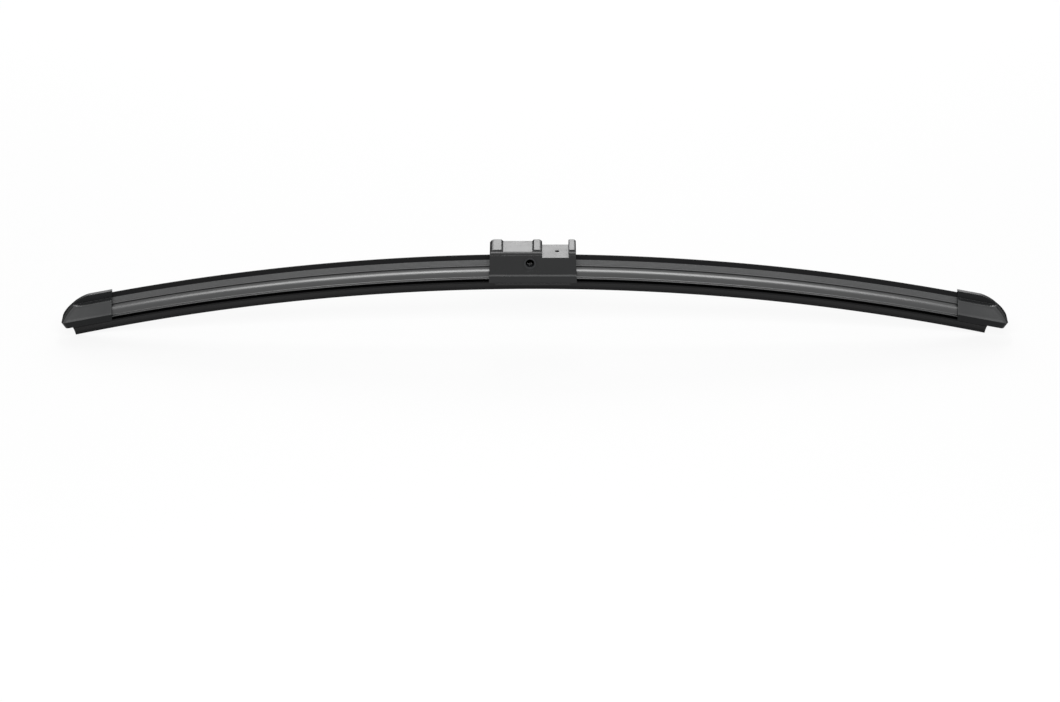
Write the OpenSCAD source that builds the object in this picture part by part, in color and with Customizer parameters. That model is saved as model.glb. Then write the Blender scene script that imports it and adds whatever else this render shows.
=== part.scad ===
// Flat wiper blade, 22 inch class, with a connector for a side pin arm.
// The blade runs along X, +Z points away from the glass, and the origin is on
// the pin bore's axis, halfway through the connector.

/* [Bow] */
// Radius that the spring rails are bowed to
bow_radius = 1297; // [1000:1:1800]
// Distance along the blade from the pin bore to the crown of the bow
crown_shift = 2.8; // [0:0.1:6]
// Height of the pin bore over the middle of the rails
bore_over_rails = 9.6; // [9.2:0.1:11]

/* [Spring rails] */
// How much shorter the rails are than the rubber
rail_shortfall = 12; // [8:1:30]
// Width of each rail
rail_width = 4.75; // [4:0.05:4.8]
// Thickness of each rail
rail_thickness = 0.9; // [0.7:0.05:1.1]
// Gap between the two rails, where the rubber's neck passes
rail_spacing = 1.3; // [1.2:0.05:1.8]
// Play of the rails in the slots that hold them
rail_play = 0.05; // [0.02:0.01:0.1]

/* [Wiping rubber] */
// Length of the rubber along its curve
rubber_length = 550; // [350:5:700]
// How far the middle of the rubber lies from the pin bore
rubber_shift = 0; // [-1:0.5:4]
// Width of the head over the rails
head_width = 5.6; // [4.4:0.1:6]
// Height of the head over the rails
head_height = 2.05; // [1.4:0.05:2.3]
// Chamfer of the head
head_chamfer = 0.6; // [0.2:0.1:1]
// Thickness of the neck between the rails
neck_thickness = 1.1; // [0.8:0.05:1.15]
// Width of the bar under the rails
bar_width = 5.2; // [4:0.1:6]
// Thickness of the bar under the rails
bar_thickness = 1.1; // [0.8:0.1:1.4]
// Thickness of the web that lets the lip tilt
web_thickness = 1; // [0.6:0.1:1.6]
// Width of the wedge's shoulder
wedge_width = 6.4; // [5:0.1:7.2]
// Depth of the wedge's shoulder under the rails
wedge_drop = 4.6; // [4.2:0.1:5.2]
// Height of the wedge's shoulder
wedge_shoulder = 1; // [0.6:0.1:1.4]
// Width just under the shoulder
wedge_waist = 4.6; // [3.6:0.1:4.9]
// How much the bar's underside falls towards the web
bar_slope = 0.3; // [0.1:0.1:0.5]
// How much the wedge's upper faces rise towards the web
wedge_slope = 0.5; // [0.2:0.1:0.7]
// How much the shoulder's underside falls towards the waist
waist_slope = 0.25; // [0.1:0.05:0.5]
// Thickness of the wiping lip at its edge
lip_thickness = 0.7; // [0.5:0.05:1]
// Thickness of the lip where it leaves the wedge
lip_root = 1.4; // [1.1:0.1:2]
// Height of the lip under the wedge
lip_height = 2; // [1.5:0.1:2.6]
// Depth of the lip's edge under the rails
lip_drop = 10.7; // [9.6:0.1:12]

/* [Spoilers] */
// Width over the lips of the claws
claw_width = 14; // [13:0.1:14.4]
// Width over the flanks, above the lips
flank_width = 11.9; // [11.8:0.1:12.4]
// Thickness of the lips at their edges
claw_lip = 0.35; // [0.2:0.05:0.5]
// Rise of the lips towards the flanks
lip_rise = 0.45; // [0:0.05:0.6]
// Thickness of the claws under the rails
claw_foot = 0.75; // [0.6:0.05:1]
// How far the claws reach in under the rails
claw_reach = 1.2; // [0.8:0.05:1.6]
// Height over the rails where the claws' flanks turn into the shoulder
flank_height = 0.8; // [0.6:0.1:1.6]
// Width between the shoulders' upper edges
shoulder_gap = 8; // [7:0.1:9]
// Height of the shoulders over the rails
shoulder_height = 4.85; // [4.2:0.05:5.4]
// Depth of the groove between the hard base and the soft fin
seam_depth = 0.45; // [0.2:0.05:0.8]
// Height of the groove
seam_height = 0.75; // [0.4:0.05:1]
// Thickness of the soft platform's edge
platform_edge = 0.4; // [0.2:0.05:0.6]
// Width of the platform
platform_width = 7.8; // [7:0.1:8.6]
// Height over the rails where the fin meets the platform
fin_foot_height = 8.6; // [7.6:0.1:9.2]
// Thickness of the fin at its foot
fin_foot = 1.6; // [1.2:0.1:2.4]
// Thickness of the fin at its tip
fin_tip = 0.9; // [0.6:0.1:1.2]
// Height of the fin's tip over the rails
fin_height = 11.4; // [10:0.1:11.6]
// Play of the spoiler round the rubber's head
head_play = 0.1; // [0.05:0.05:0.3]

/* [End caps] */
// How far the rubber's ends reach into the caps when it is centred
rubber_in_cap = 22.4; // [21:0.1:24]
// Length of each cap
cap_length = 30.6; // [30:0.1:36]
// Width at the cap's widest edge
cap_width = 17.2; // [16.6:0.1:19]
// Height of the widest edge over the rails
cap_edge_height = 0.7; // [0:0.1:1.5]
// Width of the cap's underside
cap_foot_width = 14.8; // [14.4:0.1:16.4]
// Depth of the cap's underside below the rails
cap_foot_drop = 3.4; // [2.6:0.1:3.8]
// Width between the outer edges of the ledges
cap_ledge_width = 11.2; // [10.4:0.1:12.4]
// Height of the ledges' outer edges over the rails
cap_ledge_height = 8.4; // [7.8:0.1:8.6]
// Width of the cap's fin at its foot
cap_fin_foot = 3.8; // [3.4:0.1:5]
// Height over the rails where the cap's fin meets the ledges
cap_fin_foot_height = 8.8; // [8.7:0.1:9.4]
// Width of the cap's fin at its top
cap_fin_top = 3.2; // [2.8:0.1:3.8]
// Height of the cap's fin over the rails
cap_height = 12.7; // [12:0.05:13]
// Radius of the nose, seen from the side
nose_radius = 26; // [24:0.1:30]
// Distance from the inner face at which the nose starts to fall
nose_start = 12; // [10:0.1:16]
// How far the tip leans back under its widest edge
tip_lean = 1.4; // [0.4:0.1:2.4]
// Corner radius of the tip, seen from above at its widest edge
tip_corner = 2.5; // [2:0.1:5]
// How far a spoiler's end reaches into its cap
spoiler_in_cap = 6; // [4:0.5:9]
// Play of the cap round the spoiler
cap_play = 0.15; // [0.05:0.05:0.3]
// Depth of the channel that takes the rubber's end
rubber_channel = 27.6; // [27:0.1:28.4]
// Play of the cap round the rubber and behind the ends of spoiler and rails
channel_play = 0.3; // [0.1:0.1:0.5]

/* [Connector housing] */
// Length of the housing at its foot
housing_length = 51.9; // [50:0.1:56]
// How far the middle of the housing lies from the pin bore
housing_shift = 1.7; // [1:0.1:2.4]
// Width of the housing
housing_width = 21; // [20.6:0.1:23]
// How much each end leans in, from foot to top
end_draft = 0.5; // [0.2:0.1:0.8]
// Thickness of the walls
wall = 1.6; // [1.2:0.1:1.8]
// Depth of the housing's foot below the pin bore
foot_drop = 13.6; // [13:0.1:13.9]
// Depth of the skirt's upper edge below the pin bore
skirt_drop = 8; // [7.4:0.1:9]
// Height of the slope over the skirt's upper edge
skirt_slope = 1; // [0.4:0.1:1.6]
// How far the skirt stands out
skirt_step = 0.45; // [0.1:0.05:0.6]
// Height of the strip below the skirt
strip_height = 1.5; // [0.8:0.1:2]
// How far the strip is cut short at each end
strip_inset = 4.2; // [2:0.1:6]
// Height and depth of the groove between the skirt and the strip
groove_size = 0.4; // [0.2:0.1:0.6]
// Height of the notch floor over the pin bore
notch_floor = 3.75; // [3.7:0.05:4.6]
// Distance from the pin bore to the notch, along the blade
notch_start = 7.2; // [6.6:0.1:8]
// Length of the notch
notch_length = 15.6; // [14:0.1:16]
// Thickness of the roof under the notch
notch_wall = 2; // [1.6:0.1:2.4]
// Diameter of the small hole in the notch floor
pip_diameter = 2.6; // [1.5:0.1:3.5]
// How far the small hole lies from the middle of the notch
pip_shift = 1; // [-2:0.5:2]
// Height of the shoulder edge over the pin bore
shoulder_edge = 5; // [4.7:0.1:5.4]
// Height of the recess floor over the pin bore
recess_floor = 6.8; // [6.4:0.1:7.2]
// Width of the recess floor
recess_width = 17.2; // [16:0.1:18]
// Radius of the hollow between the recess floor and the shoulder edge
hollow_radius = 3.2; // [2.4:0.1:5]
// Height of the ribs and of the post over the pin bore
rib_top = 8; // [7.6:0.1:8.6]
// Length of the slope from each rib's top down to the recess floor
rib_flank = 1.1; // [0.6:0.1:1.6]
// Distance from the housing's end to the recess
outer_rib = 7.3; // [6:0.1:9]
// Thickness of the inner rib with its flank
inner_rib = 4.8; // [3.6:0.1:6]
// Radius of the block's outer top edge
outer_round = 3; // [2:0.1:3.6]
// Radius of the block's top edge at the notch
inner_round = 2.2; // [1.2:0.1:3]
// Radius of the post's outer top edge
post_round = 1.6; // [0.8:0.1:2]
// Radius of the post's top edge at the notch
post_inner_round = 0.8; // [0.4:0.1:1.2]

/* [Pin bore] */
// Diameter of the pin bore
bore_diameter = 4.9; // [4.8:0.05:5.2]
// Chamfer at the bore's mouth
bore_chamfer = 0.3; // [0.1:0.1:0.5]
// Diameter of the bush's flange
flange_diameter = 7.4; // [7:0.1:7.8]
// Thickness of the bush's flange
flange_thickness = 1; // [0.6:0.1:1.2]
// Outer diameter of the bush
bush_diameter = 6.4; // [6:0.1:6.6]
// Length of each bush
bush_length = 4.7; // [4.4:0.1:5.4]
// Diameter of the shallow recess round the flange
dish_diameter = 9.4; // [8.6:0.1:9.8]
// Depth of the shallow recess round the flange
dish_depth = 0.2; // [0.1:0.05:0.4]
// Radial gap between a bush and its seat
bush_fit = 0.02; // [0.01:0.01:0.05]

/* [Connector base] */
// Width of the base
base_width = 17.4; // [17:0.1:17.6]
// Thickness of the base over the rubber's head
base_roof = 2.2; // [1.6:0.1:2.8]
// Thickness of the base's claws under the rails
base_foot = 1.5; // [1:0.1:1.9]
// Radius of the lugs that hold the bushes
lug_radius = 4.5; // [4.2:0.05:4.6]
// Thickness of each lug
lug_thickness = 2.4; // [1.8:0.1:2.6]
// How far a spoiler's end reaches into the housing
spoiler_in_housing = 4; // [3:0.1:5]
// Gap between the base and the spoilers' ends
base_gap = 0.5; // [0.3:0.1:1]
// Play of the base in the housing
base_play = 0.1; // [0.05:0.05:0.3]

/* [Hidden] */
$fn = 96;

// Facets of a whole turn of the bow, fine enough for its large radius
bow_facets = 1440;
// Steps that the shoulders' arc is drawn in
shoulder_steps = 10;
// Levels that the caps' round noses are drawn in
nose_levels = 12;
// Overrun of a cut past the face that it opens
over = 1;

rubber_black = "#26282a";
rail_steel = "#8d9296";
spoiler_black = "#33363a";
cap_black = "#3b3f41";
housing_black = "#3a3b3d";
base_black = "#2c2d2f";
bush_grey = "#56595b";

rail_length = rubber_length - rail_shortfall;
cap_start = rubber_length / 2 - rubber_in_cap;
bow_centre = -bore_over_rails - bow_radius;
rail_inner = rail_spacing / 2;
rail_outer = rail_inner + rail_width;
slot_half = rail_outer + rail_play;
slot_height = rail_thickness / 2 + rail_play;
head_top = rail_thickness / 2 + rail_play + head_height;
claw_bottom = -slot_height - claw_foot;
shoulder_in = (flank_width - shoulder_gap) / 2;
shoulder_rise = shoulder_height - flank_height;
shoulder_radius = (pow(shoulder_in, 2) + pow(shoulder_rise, 2)) / (2 * shoulder_in);
cap_angle = bow_turn(cap_start);
cap_overhang = (cap_height + over) * tan(cap_angle);
side_slope = (cap_width - cap_ledge_width) / 2 / (cap_ledge_height - cap_edge_height);
nose_centre = arc_centre([nose_start, cap_height], [cap_length, cap_edge_height], nose_radius);
housing_left = housing_shift - housing_length / 2;
housing_right = housing_shift + housing_length / 2;
spoiler_left_end = housing_left + spoiler_in_housing;
spoiler_right_end = housing_right - spoiler_in_housing;
notch_end = notch_start + notch_length;
strip_top = strip_height - foot_drop;
roof_under_notch = notch_floor - notch_wall;
roof_under_block = lug_radius + base_play;
block_hollow_half = bush_inner_face() + lug_thickness + base_play;

// Turn round the bow's centre that a length along the rails makes
function bow_turn(length) = length / bow_radius * 180 / PI;

// Turn from the crown to a place along X
function turn_at(x) = asin((x - crown_shift) / bow_radius);

// Half of the outline, followed by its mirror image
function both_sides(half) =
    concat(half, [for (i = [len(half) - 1:-1:0]) [-half[i][0], half[i][1]]]);

// Centre of an arc that runs clockwise from one point to another
function arc_centre(from, to, radius) =
    let (chord = to - from, away = sqrt(pow(radius, 2) - pow(norm(chord) / 2, 2)))
    from + chord / 2 + away * [chord[1], -chord[0]] / norm(chord);

// Distance from the blade's mid-plane to the inner face of a bush
function bush_inner_face() = housing_width / 2 - bush_length;

// Sweeps a section, drawn as width and height over the rails, along the bow
module along_bow(from, to) {
    translate([crown_shift, 0, bow_centre])
        rotate([-90, -90, 0])
            rotate([0, 0, from])
                rotate_extrude(angle = to - from, $fn = bow_facets)
                    translate([bow_radius, 0])
                        mirror([1, -1])
                            children();
}

// Frame on the rails at a turn from the crown, +X along the blade
module on_bow(turn) {
    translate([crown_shift, 0, bow_centre])
        rotate([0, turn, 0])
            translate([0, 0, bow_radius])
                children();
}

// Outline drawn as X and Z, extruded evenly to both sides of the mid-plane
module across(width) {
    rotate([90, 0, 0])
        linear_extrude(width, center = true)
            children();
}

// Outline drawn as Y and Z, extruded along the blade
module lengthwise(from, to) {
    translate([from, 0, 0])
        rotate([90, 0, 90])
            linear_extrude(to - from)
                children();
}

// Rectangle given by its lower left and upper right corners
module box_2d(low, high) {
    translate(low)
        square(high - low);
}

// Rectangle with its two upper corners rounded, each by its own radius
module rounded_top(low, high, left_round, right_round) {
    difference() {
        box_2d(low, high);
        translate([low[0] + left_round, high[1] - left_round])
            difference() {
                box_2d([-left_round - over, 0], [0, left_round + over]);
                circle(left_round);
            }
        translate([high[0] - right_round, high[1] - right_round])
            difference() {
                box_2d([0, 0], [right_round + over, right_round + over]);
                circle(right_round);
            }
    }
}

// Outline of a spoiler as drawn from outside, grown by a clearance
module spoiler_outline(gap = 0) {
    seam_in = platform_width / 2 - seam_depth + gap;
    platform_bottom = shoulder_height + seam_height;
    shoulder_turn = asin(shoulder_rise / shoulder_radius);
    polygon(both_sides(concat(
        [
            [fin_tip / 2 + gap, fin_height + gap],
            [fin_foot / 2 + gap, fin_foot_height + gap],
            [platform_width / 2 + gap, platform_bottom + platform_edge + gap],
            [platform_width / 2 + gap, platform_bottom],
            [seam_in, shoulder_height + seam_height / 2],
        ],
        [for (step = [shoulder_steps:-1:0])
            let (turn = shoulder_turn * step / shoulder_steps)
            [
                flank_width / 2 - shoulder_radius + (shoulder_radius + gap) * cos(turn),
                flank_height + (shoulder_radius + gap) * sin(turn),
            ]
        ],
        [
            [flank_width / 2 + gap, claw_bottom + claw_lip + lip_rise + gap],
            [claw_width / 2 + gap, claw_bottom + claw_lip + gap],
            [claw_width / 2 + gap, claw_bottom - gap],
        ]
    )));
}

// Slot for both rails and channel for the rubber's head
module rail_and_head_slot() {
    box_2d([-slot_half, -slot_height], [slot_half, slot_height]);
    head_half = head_width / 2 + head_play;
    box_2d([-head_half, 0], [head_half, head_top + head_play]);
}

// Section of a spoiler: claws round the rails, hard shoulders, soft platform and fin
module spoiler_section() {
    mouth_half = rail_outer - claw_reach;
    difference() {
        spoiler_outline();
        rail_and_head_slot();
        box_2d([-mouth_half, claw_bottom - over], [mouth_half, 0]);
    }
}

// Section of the wiping rubber, head over the rails and lip under them
module rubber_section() {
    head_bottom = slot_height;
    bar_bottom = -slot_height - bar_thickness;
    waist_height = -wedge_drop - wedge_shoulder;
    polygon(both_sides([
        [head_width / 2 - head_chamfer, head_top],
        [head_width / 2, head_top - head_chamfer],
        [head_width / 2, head_bottom],
        [neck_thickness / 2, head_bottom],
        [neck_thickness / 2, -slot_height],
        [bar_width / 2, -slot_height],
        [bar_width / 2, bar_bottom],
        [web_thickness / 2, bar_bottom - bar_slope],
        [web_thickness / 2, -wedge_drop + wedge_slope],
        [wedge_width / 2, -wedge_drop],
        [wedge_width / 2, waist_height],
        [wedge_waist / 2, waist_height - waist_slope],
        [lip_root / 2, -lip_drop + lip_height],
        [lip_thickness / 2, -lip_drop],
    ]));
}

// Section that gives an end cap its fin, its ledges and its flat underside
module cap_section() {
    polygon(both_sides([
        [cap_fin_top / 2, cap_height],
        [cap_fin_foot / 2, cap_fin_foot_height],
        [cap_ledge_width / 2, cap_ledge_height],
        [cap_width, cap_ledge_height],
        [cap_width, -cap_foot_drop],
    ]));
}

// Side view of an end cap's inner end, which is plumb once the cap is on the bow
module cap_inner_end() {
    polygon([
        [(cap_foot_drop + over) * tan(cap_angle), -cap_foot_drop - over],
        [cap_length + over, -cap_foot_drop - over],
        [cap_length + over, cap_height + over],
        [-cap_overhang, cap_height + over],
    ]);
}

// Half width between the cap's sloping sides at a height over the rails
function cap_half(height) =
    height < cap_edge_height
        ? lookup(height, [[-cap_foot_drop, cap_foot_width / 2], [cap_edge_height, cap_width / 2]])
        : cap_width / 2 - side_slope * (height - cap_edge_height);

// Corner radius of the nose, seen from above, at a height over the rails
function nose_corner(height) =
    let (rise = (height - cap_edge_height) / (cap_ledge_height - cap_edge_height))
    min(cap_half(height), tip_corner + (cap_ledge_width / 2 - tip_corner) * max(0, rise));

// Sides and nose of an end cap: the nose falls in an arc, with rounder corners higher up.
// Each cone's rim is one level, and its point lies inside.
module cap_sides_and_nose() {
    side_top = cap_height + over;
    low_turn = asin((cap_edge_height - nose_centre[1]) / nose_radius);
    high_turn = asin((cap_height - nose_centre[1]) / nose_radius);
    levels = concat(
        [[cap_length - tip_lean, -cap_foot_drop]],
        [for (level = [0:nose_levels])
            let (turn = low_turn + (high_turn - low_turn) * level / nose_levels)
            nose_centre + nose_radius * [cos(turn), sin(turn)]
        ]
    );
    hull() {
        lengthwise(-cap_overhang, 0)
            polygon(both_sides([
                [cap_half(side_top), side_top],
                [cap_width / 2, cap_edge_height],
                [cap_foot_width / 2, -cap_foot_drop],
                [cap_foot_width / 2, -cap_foot_drop - over],
            ]));
        for (level = levels, side = [-1, 1])
            let (corner = nose_corner(level[1]))
            translate([level[0] - corner, side * (cap_half(level[1]) - corner), level[1] - over])
                cylinder(r1 = 0, r2 = corner, h = over, $fn = 32);
    }
}

// The right-hand end cap: a moulded cap with sockets for spoiler, rails and rubber
module end_cap() {
    spoiler_end = bow_turn(cap_start + spoiler_in_cap + channel_play);
    rail_end = bow_turn(rail_length / 2 + channel_play);
    channel_end = bow_turn(cap_start + rubber_channel);
    open_end = bow_turn(cap_start - cap_overhang - over);
    bar_half = bar_width / 2 + channel_play;
    difference() {
        on_bow(cap_angle)
            intersection() {
                lengthwise(-cap_overhang, cap_length + over)
                    cap_section();
                across(cap_width + over)
                    cap_inner_end();
                cap_sides_and_nose();
            }
        along_bow(open_end, spoiler_end)
            spoiler_outline(cap_play);
        along_bow(open_end, rail_end)
            box_2d([-slot_half, -slot_height], [slot_half, slot_height]);
        along_bow(open_end, channel_end)
            union() {
                box_2d([-head_width / 2 - channel_play, 0],
                    [head_width / 2 + channel_play, head_top + channel_play]);
                box_2d([-bar_half, -cap_foot_drop - 2 * over], [bar_half, 0]);
            }
    }
}

// Mirror image about the plane through the crown of the bow
module opposite_end() {
    translate([crown_shift, 0, 0])
        mirror([1, 0, 0])
            translate([-crown_shift, 0, 0])
                children();
}

module wiper_rubber() {
    middle = turn_at(rubber_shift);
    half_turn = bow_turn(rubber_length / 2);
    color(rubber_black)
        along_bow(middle - half_turn, middle + half_turn)
            rubber_section();
}

module spring_rail(side) {
    half_turn = bow_turn(rail_length / 2);
    low = side < 0 ? -rail_outer : rail_inner;
    color(rail_steel)
        along_bow(-half_turn, half_turn)
            box_2d([low, -rail_thickness / 2], [low + rail_width, rail_thickness / 2]);
}

module spring_rail_front() {
    spring_rail(-1);
}

module spring_rail_rear() {
    spring_rail(1);
}

module spoiler_left() {
    color(spoiler_black)
        along_bow(-bow_turn(cap_start + spoiler_in_cap), turn_at(spoiler_left_end))
            spoiler_section();
}

module spoiler_right() {
    color(spoiler_black)
        along_bow(turn_at(spoiler_right_end), bow_turn(cap_start + spoiler_in_cap))
            spoiler_section();
}

module end_cap_left() {
    color(cap_black)
        opposite_end()
            end_cap();
}

module end_cap_right() {
    color(cap_black)
        end_cap();
}

// Lugs with the holes that hold the bushes, standing on the base's roof
module base_lugs(roof_height) {
    inner = bush_inner_face();
    for (side = [-1, 1])
        translate([0, side * (inner + lug_thickness / 2), 0])
            across(lug_thickness)
                difference() {
                    union() {
                        circle(lug_radius);
                        box_2d([-lug_radius, roof_height - over], [lug_radius, 0]);
                    }
                    circle(bush_diameter / 2 + bush_fit);
                }
}

module connector_base() {
    left = spoiler_left_end + base_gap;
    right = spoiler_right_end - base_gap;
    roof = head_top + head_play + base_roof;
    mouth_half = rail_outer - claw_reach;
    color(base_black)
        union() {
            difference() {
                lengthwise(left, right)
                    box_2d([-base_width / 2, -bore_over_rails - slot_height - base_foot],
                        [base_width / 2, -bore_over_rails + roof]);
                along_bow(turn_at(left - over), turn_at(right + over))
                    union() {
                        rail_and_head_slot();
                        box_2d([-mouth_half, -bore_over_rails], [mouth_half, 0]);
                    }
            }
            base_lugs(-bore_over_rails + roof);
        }
}

// Section of the block and the post, with a hollow along each upper edge
module block_section() {
    half = housing_width / 2;
    hollow = arc_centre([half, shoulder_edge], [recess_width / 2, recess_floor], hollow_radius);
    difference() {
        box_2d([-half, notch_floor - over], [half, rib_top]);
        for (side = [-1, 1])
            translate([side * hollow[0], hollow[1]])
                circle(hollow_radius);
    }
}

// Block left of the notch, with a recess between two ribs
module housing_block() {
    left = housing_left + end_draft;
    recess_left = housing_left + outer_rib;
    recess_right = notch_start - inner_rib;
    intersection() {
        lengthwise(left, notch_start)
            block_section();
        across(housing_width + over)
            difference() {
                rounded_top([left, notch_floor - over], [notch_start, rib_top], outer_round, inner_round);
                polygon([
                    [recess_left, rib_top + over],
                    [recess_left, rib_top],
                    [recess_left + rib_flank, recess_floor],
                    [recess_right - rib_flank, recess_floor],
                    [recess_right, rib_top],
                    [recess_right, rib_top + over],
                ]);
            }
    }
}

// Post right of the notch
module housing_post() {
    right = housing_right - end_draft;
    intersection() {
        lengthwise(notch_end, right)
            block_section();
        across(housing_width + over)
            rounded_top([notch_end, notch_floor - over], [right, rib_top], post_inner_round, post_round);
    }
}

// Outside of the housing, before it is hollowed
module housing_body() {
    across(housing_width)
        polygon([
            [housing_left, -foot_drop + strip_height],
            [housing_left + strip_inset - strip_height, -foot_drop + strip_height],
            [housing_left + strip_inset, -foot_drop],
            [housing_right - strip_inset, -foot_drop],
            [housing_right - strip_inset + strip_height, -foot_drop + strip_height],
            [housing_right, -foot_drop + strip_height],
            [housing_right - end_draft, notch_floor],
            [housing_left + end_draft, notch_floor],
        ]);
    lengthwise(housing_left, housing_right)
        polygon(both_sides([
            [housing_width / 2, skirt_slope - skirt_drop],
            [housing_width / 2 + skirt_step, -skirt_drop],
            [housing_width / 2 + skirt_step, strip_top],
        ]));
    housing_block();
    housing_post();
}

module connector_housing() {
    half = housing_width / 2;
    hollow_half = base_width / 2 + base_play;
    color(housing_black)
        difference() {
            housing_body();
            translate([0, 0, -foot_drop - over])
                linear_extrude(foot_drop + over + roof_under_notch)
                    box_2d([housing_left + wall, -hollow_half], [housing_right - wall, hollow_half]);
            translate([0, 0, -foot_drop])
                linear_extrude(foot_drop + roof_under_block)
                    box_2d([housing_left + end_draft + outer_round, -block_hollow_half],
                        [notch_start - wall, block_hollow_half]);
            along_bow(turn_at(housing_left - over), turn_at(housing_right + over))
                union() {
                    spoiler_outline(cap_play);
                    box_2d([-claw_width / 2 - cap_play, -foot_drop], [claw_width / 2 + cap_play, 0]);
                }
            rotate([90, 0, 0])
                cylinder(d = bush_diameter + 2 * bush_fit, h = housing_width + over, center = true);
            for (side = [-1, 1])
                translate([0, side * half, 0])
                    rotate([90, 0, 0]) {
                        cylinder(d = flange_diameter + 2 * bush_fit, h = 2 * flange_thickness, center = true);
                        cylinder(d = dish_diameter, h = 2 * dish_depth, center = true);
                    }
            for (side = [-1, 1])
                translate([0, side * half, 0])
                    lengthwise(housing_left - over, housing_right + over)
                        box_2d([-groove_size, strip_top - groove_size], [groove_size, strip_top]);
            translate([notch_start + notch_length / 2 + pip_shift, 0, roof_under_notch - over])
                cylinder(d = pip_diameter, h = notch_floor - roof_under_notch + 2 * over);
        }
}

// Flanged bush with a chamfered bore, its flange flush with the housing's side
module bearing_bush(side) {
    color(bush_grey)
        translate([0, side * housing_width / 2, 0])
            rotate([side * 90, 0, 0])
                rotate_extrude()
                    polygon([
                        [bore_diameter / 2 + bore_chamfer, 0],
                        [flange_diameter / 2, 0],
                        [flange_diameter / 2, flange_thickness],
                        [bush_diameter / 2, flange_thickness],
                        [bush_diameter / 2, bush_length],
                        [bore_diameter / 2, bush_length],
                        [bore_diameter / 2, bore_chamfer],
                    ]);
}

module bearing_bush_front() {
    bearing_bush(-1);
}

module bearing_bush_rear() {
    bearing_bush(1);
}

wiper_rubber();
spring_rail_front();
spring_rail_rear();
spoiler_left();
spoiler_right();
end_cap_left();
end_cap_right();
connector_base();
connector_housing();
bearing_bush_front();
bearing_bush_rear();
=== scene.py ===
"""Flat wiper blade dressed for rendering, laid out as a Blender add-on."""
import math

import bmesh
import bpy
from bpy.props import FloatProperty, IntProperty, PointerProperty, StringProperty
from mathutils import Matrix, Vector


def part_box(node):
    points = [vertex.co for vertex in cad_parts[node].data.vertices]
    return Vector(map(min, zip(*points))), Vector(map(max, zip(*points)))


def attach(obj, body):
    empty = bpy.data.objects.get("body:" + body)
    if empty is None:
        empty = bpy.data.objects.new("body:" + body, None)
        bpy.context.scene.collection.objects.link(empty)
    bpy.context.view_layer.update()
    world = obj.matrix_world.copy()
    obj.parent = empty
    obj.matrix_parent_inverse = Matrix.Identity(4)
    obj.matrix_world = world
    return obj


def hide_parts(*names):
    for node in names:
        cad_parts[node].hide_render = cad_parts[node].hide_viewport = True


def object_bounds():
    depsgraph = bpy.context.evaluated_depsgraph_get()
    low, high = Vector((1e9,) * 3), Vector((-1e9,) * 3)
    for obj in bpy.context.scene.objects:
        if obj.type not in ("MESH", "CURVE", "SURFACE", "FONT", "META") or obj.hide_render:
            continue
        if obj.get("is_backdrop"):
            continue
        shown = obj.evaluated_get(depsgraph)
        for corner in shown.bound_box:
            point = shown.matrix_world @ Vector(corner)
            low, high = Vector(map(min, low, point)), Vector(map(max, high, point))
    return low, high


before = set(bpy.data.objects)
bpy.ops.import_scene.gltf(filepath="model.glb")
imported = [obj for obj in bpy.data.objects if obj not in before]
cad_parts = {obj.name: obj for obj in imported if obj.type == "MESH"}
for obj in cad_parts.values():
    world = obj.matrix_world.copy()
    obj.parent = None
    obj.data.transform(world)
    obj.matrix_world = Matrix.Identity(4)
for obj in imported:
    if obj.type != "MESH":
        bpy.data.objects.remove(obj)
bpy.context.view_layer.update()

bl_info = {
    "name": "Flat wiper blade",
    "version": (1, 0, 0),
    "blender": (4, 5, 0),
    "location": "3D View > Sidebar > Wiper",
    "description": "Builds the visible pieces, finishes and studio of a flat wiper blade",
    "category": "Object",
}

MM = 0.001
# Edges sharper than these stay crisp in the shading: on swept and turned pieces, and on the caps
SHARP_ANGLE = math.radians(38)
CAP_SHARP_ANGLE = math.radians(28)
# Noise seldom leaves this range, so what it drives is given by its values at these two ends
NOISE_RANGE = {"From Min": 0.3, "From Max": 0.7}
# Heights closer than this count as the same
HAIR = 0.01 * MM
WHITE = (1.0, 1.0, 1.0, 1.0)
# The photograph's frame, and where the middle of the pin bore lies in it
PHOTO_WIDTH_PX = 1060
PHOTO_HEIGHT_PX = 702
BORE_PX = (530.0, 264.3)


def length(name, description, millimetres):
    """A size in the sidebar, given in millimetres and kept in metres."""
    return FloatProperty(name=name, description=description, default=millimetres * MM,
                         min=0.0, unit="LENGTH", precision=5)


def tone(name, description, hex_value):
    """A colour in the sidebar, written as an sRGB hex value."""
    return StringProperty(name=name, description=description, default=hex_value, maxlen=7)


class WiperBowSizes(bpy.types.PropertyGroup):
    """The curve that the long pieces follow."""
    radius: length("Bow radius", "Radius that the rails are bowed to", 1297.0)
    crown: length("Crown", "Distance from the pin bore to the crown of the bow", 2.8)
    drop: length("Rail drop", "Depth of the rails' middle below the pin bore", 9.6)
    steps_per_metre: IntProperty(name="Steps per metre", description="Rings along a swept piece",
                                 default=420, min=50)


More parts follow.
